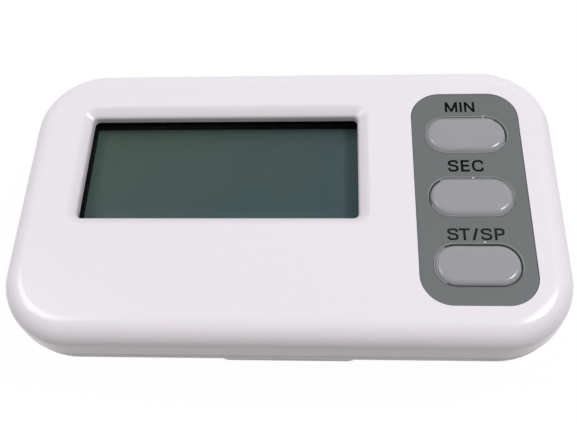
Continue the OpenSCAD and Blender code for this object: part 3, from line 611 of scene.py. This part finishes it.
def makeClipSpring(look):
    coil = windWire(look["wire"], look["coilR"], look["pitch"], look["turns"])
    for atStart in (True, False):  # both legs run straight on, under the thumb end
        selectEnd(coil, atStart)
        bpy.ops.mesh.extrude_edges_move(TRANSFORM_OT_translate={"value": (0, look["leg"] * mm, 0)})
        bpy.ops.object.mode_set(mode="OBJECT")
    closeEnds(coil)
    side = look["pitch"] * look["turns"] / 2
    axisY, axisZ = look["axisY"] * mm, look["axisZ"] * mm
    coil.location = (-side * mm, axisY, axisZ)
    ends = [Vector((x * mm, axisY, axisZ)) for x in (-side + look["wire"], side - look["wire"])]
    # its turns sit between case and clip, baked in place
    finishPiece(coil, "clipSpringWire", ("case", "clip", *ends), "bright_metal", "clip_spring")


makeClipSpring(clipSpringLook)

feedSpringLook = {"wire": 0.35, "coilR": 0.7, "turns": 3.5}


def makeFeedSprings(look):
    low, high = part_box("buzzer_springs")
    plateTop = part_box("buzzer_plate")[1].z
    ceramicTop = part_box("buzzer_ceramic")[1].z
    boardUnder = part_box("circuit_board")[0].z
    springs = []
    for foot, y in ((ceramicTop, low.y / mm + look["coilR"] + look["wire"] / 2),
                    (plateTop, high.y / mm - look["coilR"] - look["wire"] / 2)):
        rise = (boardUnder - foot) / mm - look["wire"]
        coil = windWire(look["wire"], look["coilR"], rise / look["turns"], look["turns"])
        closeEnds(coil)
        coil.rotation_euler = (0, radians(-90), 0)  # stands the winding up
        coil.location = ((low.x + high.x) / 2, y * mm, foot + look["wire"] / 2 * mm)
        springs.append(coil)
    joinPieces(springs)
    finishPiece(springs[0], "buzzerFeedSprings", "case", "bright_metal", "buzzer_springs")


makeFeedSprings(feedSpringLook)


# Body of rings: each ring is a radius and a height in mm, from the bottom up
def stackRings(rings, place, sides=48):
    firstR, firstZ = rings[0]
    bpy.ops.object.select_all(action="DESELECT")
    bpy.ops.mesh.primitive_circle_add(vertices=sides, radius=firstR * mm, fill_type="NGON",
                                      enter_editmode=True)
    body = bpy.context.object
    bpy.ops.mesh.select_all(action="SELECT")
    bpy.ops.transform.translate(value=(0, 0, firstZ * mm))
    for (wasR, wasZ), (newR, newZ) in zip(rings, rings[1:]):
        bpy.ops.mesh.extrude_region_move(TRANSFORM_OT_translate={"value": (0, 0, (newZ - wasZ) * mm)})
        bpy.ops.transform.resize(value=(newR / wasR, newR / wasR, 1), center_override=(0, 0, newZ * mm))
    mendSurface()
    body.location = (place[0] * mm, place[1] * mm, 0)
    bpy.ops.object.transform_apply(location=True, rotation=True, scale=True)
    return body


# Middles of the keys, in mm; the rows run from -1, the lowest, to 1
keyField = {"x": 21.0, "y": -0.82, "pitch": 8.53}


def keyMiddle(row):
    return keyField["x"], keyField["y"] + row * keyField["pitch"]


keyMatLook = {
    "corner": 5.0, "cornerSteps": 10, "thick": 0.6, "edge": 0.14, "edgeSteps": 3, "edgeAngle": 60,
    "dome": ((3.25, -0.02), (3.25, 0.0), (3.08, 0.03), (2.95, 0.10), (2.86, 0.2), (2.35, 0.44),
             (2.12, 0.54), (2.02, 0.64), (2.0, 0.75), (2.0, 1.58), (1.95, 1.66), (1.86, 1.70)),
    "hollow": ((2.4, -0.7), (2.4, 0.02), (2.3, 0.14), (1.72, 0.58), (1.6, 0.65)),
    "domes": (("startStopDome", "start_stop_press"), ("secondDome", "second_press"),
              ("minuteDome", "minute_press")),
}


def hollowOut(piece, tool):
    cut = piece.modifiers.new("hollow", "BOOLEAN")
    cut.operation = "DIFFERENCE"
    cut.object = tool
    cut.solver = "EXACT"


def makeKeyMat(look):
    low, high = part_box("key_mat")
    size = high - low
    middle = (low + high) / 2
    bpy.ops.object.select_all(action="DESELECT")
    bpy.ops.mesh.primitive_cube_add(size=1, location=(middle.x, middle.y, low.z + look["thick"] / 2 * mm))
    mat = bpy.context.object
    mat.scale = (size.x, size.y, look["thick"] * mm)
    bpy.ops.object.transform_apply(location=True, rotation=True, scale=True)
    bpy.ops.object.mode_set(mode="EDIT")
    bpy.ops.mesh.select_mode(type="EDGE")
    bpy.ops.mesh.select_all(action="DESELECT")
    bpy.ops.object.mode_set(mode="OBJECT")
    for edge in mat.data.edges:  # the four upright ones
        a, b = (mat.data.vertices[i].co for i in edge.vertices)
        edge.select = abs(a.z - b.z) > look["thick"] / 2 * mm
    bpy.ops.object.mode_set(mode="EDIT")
    bpy.ops.mesh.bevel(offset=look["corner"] * mm, segments=look["cornerSteps"])
    bpy.ops.object.mode_set(mode="OBJECT")
    top = mat.modifiers.new("softEdge", "BEVEL")
    top.width = look["edge"] * mm
    top.segments = look["edgeSteps"]
    top.limit_method = "ANGLE"
    top.angle_limit = radians(look["edgeAngle"])
    topZ = low.z / mm + look["thick"]
    tools = []
    for row, (domeName, press) in zip((-1, 0, 1), look["domes"]):
        place = (middle.x / mm, middle.y / mm + row * keyField["pitch"])
        dome, tool = (stackRings([(r, topZ + z) for r, z in look[form]], place)
                      for form in ("dome", "hollow"))
        hollowOut(mat, tool)
        hollowOut(dome, tool)
        applyAll(dome)
        finishPiece(dome, domeName, "case", "rubber_pale")
        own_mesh(dome)
        tools.append(tool)
    applyAll(mat)
    for tool in tools:
        bpy.data.objects.remove(tool)
    finishPiece(mat, "rubberKeyMat", "case", "rubber_pale", "key_mat")


makeKeyMat(keyMatLook)


# Printed words over the keys: plain capitals drawn as strokes, in shares of their height
inkLook = {
    "shade": (0.006, 0.008, 0.008), "patch": 0.6, "sheenPatch": 0.5, "roughness": (0.55, 0.70),
    "grain": 0.08, "grainDepth": 0.0005, "sockets": {"Specular IOR Level": 0.02},
}
wordLook = {
    "stroke": 0.17, "strokeSteps": 2, "curveSteps": 6, "gap": 0.17, "closeGaps": {"ST": 0.03},
    "inkHigh": 0.015,
    "words": (  # word, key row, place from the key's middle, width, height, ink
        ("MIN", 1, (-0.43, 4.09), 3.52, 1.48, (0.002, 0.003, 0.003)),
        ("SEC", 0, (-0.34, 4.19), 4.07, 1.60, (0.002, 0.003, 0.003)),
        ("ST/SP", -1, (0.08, 3.77), 6.25, 1.54, (0.022, 0.032, 0.032)),
    ),
}
half = wordLook["stroke"] / 2  # a line drawn this far inside its letter touches the edge
letterShapes = {  # width, then strokes: two points make a straight one, and more make a smooth curve
    "M": (0.94, (((half, 0), (half, 1)), ((0.94 - half, 0), (0.94 - half, 1)),
                 ((half * 1.3, 0.95), (0.47, 0.06)), ((0.94 - half * 1.3, 0.95), (0.47, 0.06)))),
    "I": (half * 2, (((half, 0), (half, 1)),)),
    "N": (0.78, (((half, 0), (half, 1)), ((0.78 - half, 0), (0.78 - half, 1)),
                 ((half * 1.3, 0.95), (0.78 - half * 1.3, 0.05)))),
    "S": (0.76, (((0.76 - half * 1.1, 0.70), (0.62, 0.875), (0.38, 1 - half), (0.16, 0.87),
                  (half * 1.1, 0.73), (0.17, 0.60), (0.38, 0.53), (0.60, 0.45), (0.76 - half, 0.28),
                  (0.60, 0.125), (0.38, half), (0.14, 0.135), (half, 0.32)),)),
    "E": (0.62, (((half, 0), (half, 1)), ((half, 1 - half), (0.62, 1 - half)),
                 ((half, 0.52), (0.58, 0.52)), ((half, half), (0.62, half)))),
    "C": (0.86, (((0.86 - half * 1.2, 0.67), (0.68, 0.87), (0.46, 1 - half), (0.20, 0.84), (half, 0.5),
                  (0.20, 0.16), (0.46, half), (0.68, 0.13), (0.86 - half * 1.2, 0.34)),)),
    "T": (0.74, (((0, 1 - half), (0.74, 1 - half)), ((0.37, 0), (0.37, 1 - half)))),
    "P": (0.68, (((half, 0), (half, 1)),
                 ((half, 1 - half), (0.38, 1 - half), (0.53, 0.885), (0.68 - half, 0.70),
                  (0.53, 0.515), (0.38, 0.475), (half, 0.475)))),
    "/": (0.38, (((half * 0.6, 0), (0.38 - half * 0.6, 1)),)),
}


def drawWord(word, look):  # strokes of round wire, pressed flat afterwards
    bpy.ops.object.select_all(action="DESELECT")
    bpy.ops.curve.primitive_nurbs_path_add()
    drawing = bpy.context.object
    splines = drawing.data.splines
    splines.clear()
    drawing.data.resolution_u = look["curveSteps"]
    start = 0.0
    for letter, following in zip(word, word[1:] + " "):
        width, strokes = letterShapes[letter]
        for points in strokes:
            curved = len(points) > 2
            stroke = splines.new("BEZIER" if curved else "POLY")
            knots = stroke.bezier_points if curved else stroke.points
            knots.add(len(points) - 1)
            for knot, (x, y) in zip(knots, points):
                if curved:
                    knot.co = (start + x, y, 0)
                    knot.handle_left_type = knot.handle_right_type = "AUTO"
                else:
                    knot.co = (start + x, y, 0, 1)
        start += width + look["closeGaps"].get(letter + following, look["gap"])
    thicken(drawing, half, look["strokeSteps"])
    return drawing


def printWords(look):
    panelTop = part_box("key_panel")[1].z
    for word, row, (aside, above), width, height, ink in look["words"]:
        letters = drawWord(word, look)
        spots = [v.co for v in letters.data.vertices]
        left, right = min(s.x for s in spots), max(s.x for s in spots)
        bottom, top = min(s.y for s in spots), max(s.y for s in spots)
        wide, high = width * mm / (right - left), height * mm / (top - bottom)
        keyX, keyY = keyMiddle(row)
        letters.scale = (wide, high, look["inkHigh"] * mm / look["stroke"] * 2)
        letters.location = ((keyX + aside) * mm - (left + right) / 2 * wide,
                            (keyY + above) * mm - (bottom + top) / 2 * high, panelTop)
        bpy.ops.object.transform_apply(location=True, rotation=True, scale=True)
        letters.name = "word" + word.replace("/", "").capitalize()
        letters.data.materials.clear()
        letters.data.materials.append(mouldedPlastic(letters.name + "Ink", {**inkLook, "base": ink}))
        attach(letters, "case")
        print("word printed:", word)


printWords(wordLook)


# Beads round the keys: pale rims of the openings, a painted highlight along their edges, tilted so that
# they sink into the panel towards the foot, and soft pale lips that close a part of each gap, painting
# light over its shade
pastKey = 9  # mm, beyond any point of a key from its middle
# pale rims: a painted highlight along the edges of the openings
rimLook = {
    "name": "keyOpeningHighlightRims", "out": 0.19, "bead": 0.07, "middleZ": -0.07,
    "rows": (  # key row, tilts, span of x that is kept, and the height below which all is kept
        (-1, (2.2, -0.4), (-pastKey, pastKey), 0), (0, (2.2, 0.0), (-pastKey, pastKey), 0),
        (1, (2.2, -0.4), (-pastKey, pastKey), 0)),
    "finish": {"base": (0.30, 0.31, 0.30), "shade": (0.20, 0.21, 0.20), "patch": 1.6, "sheenPatch": 0.6,
               "roughness": (0.25, 0.40), "grain": 0.06, "grainDepth": 0.001},
}
# pale lips: painted light laid over the shade in parts of the gaps
lipLook = {
    "name": "keyGapLightLips", "out": 0.012, "bead": 0.055, "middleZ": -0.07,
    "rows": ((-1, (0, 0), (-pastKey, -3.4), -pastKey), (0, (0, 0), (-3.6, pastKey), -0.9),
             (1, (0, 0), (-pastKey, 3.6), -0.9)),
    "finish": {"base": (0.40, 0.41, 0.42), "shade": (0.34, 0.35, 0.36), "patch": 1.0, "sheenPatch": 0.4,
               "roughness": (0.30, 0.45), "grain": 0.05, "grainDepth": 0.001},
}
keyOutline = {"size": (9.3, 4.85), "corner": 2.35, "cornerSteps": 16, "beadSteps": 3}


def makeBeads(look, outline):
    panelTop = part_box("key_panel")[1].z
    wide, high = (side + 2 * look["out"] for side in outline["size"])
    beads = []
    for row, (tiltX, tiltY), (start, end), foot in look["rows"]:
        bpy.ops.object.select_all(action="DESELECT")
        bpy.ops.mesh.primitive_plane_add(size=1)
        bead = bpy.context.object
        bead.scale = (wide * mm, high * mm, 1)
        bpy.ops.object.transform_apply(location=True, rotation=True, scale=True)
        bpy.ops.object.mode_set(mode="EDIT")
        bpy.ops.mesh.select_mode(type="VERT")
        bpy.ops.mesh.select_all(action="SELECT")
        bpy.ops.mesh.bevel(offset=(outline["corner"] + look["out"]) * mm,
                           segments=outline["cornerSteps"], affect="VERTICES")
        bpy.ops.mesh.select_all(action="SELECT")
        bpy.ops.mesh.delete(type="ONLY_FACE")
        bpy.ops.mesh.select_all(action="DESELECT")
        bpy.ops.object.mode_set(mode="OBJECT")
        for vertex in bead.data.vertices:
            vertex.select = vertex.co.y > foot * mm and not start * mm < vertex.co.x < end * mm
        bpy.ops.object.mode_set(mode="EDIT")
        bpy.ops.mesh.delete(type="VERT")
        bpy.ops.object.mode_set(mode="OBJECT")
        bpy.ops.object.convert(target="CURVE")
        thicken(bead, look["bead"] * mm, outline["beadSteps"])
        keyX, keyY = keyMiddle(row)
        bead.rotation_euler = (radians(tiltX), radians(tiltY), 0)
        bead.location = (keyX * mm, keyY * mm, panelTop + look["middleZ"] * mm)
        beads.append(bead)
    joinPieces(beads)
    finishes[look["name"]] = mouldedPlastic(look["name"], look["finish"])
    finishPiece(beads[0], look["name"], "case", look["name"])


makeBeads(rimLook, keyOutline)
makeBeads(lipLook, keyOutline)


# Tiny moulding nibs on the upper rims of the key openings
nibLook = {
    "rings": ((0.16, -0.12), (0.16, 0.0), (0.14, 0.06), (0.09, 0.10), (0.03, 0.12)), "sides": 20,
    "places": ((1, (2.2, 2.66)), (0, (0.35, 2.54)), (-1, (0.95, 2.74))),  # key row, place from its middle
    "finish": {"base": (0.58, 0.58, 0.56), "shade": (0.48, 0.48, 0.46), "patch": 0.2, "sheenPatch": 0.2,
               "roughness": (0.20, 0.35), "grain": 0.06, "grainDepth": 0.002},
}


def makeNibs(look):
    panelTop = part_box("key_panel")[1].z / mm
    rings = [(r, panelTop + z) for r, z in look["rings"]]
    nibs = []
    for row, (aside, above) in look["places"]:
        keyX, keyY = keyMiddle(row)
        nibs.append(stackRings(rings, (keyX + aside, keyY + above), look["sides"]))
    joinPieces(nibs)
    finishes["nib"] = mouldedPlastic("mouldingNib", look["finish"])
    finishPiece(nibs[0], "mouldingNibs", "case", "nib")


makeNibs(nibLook)
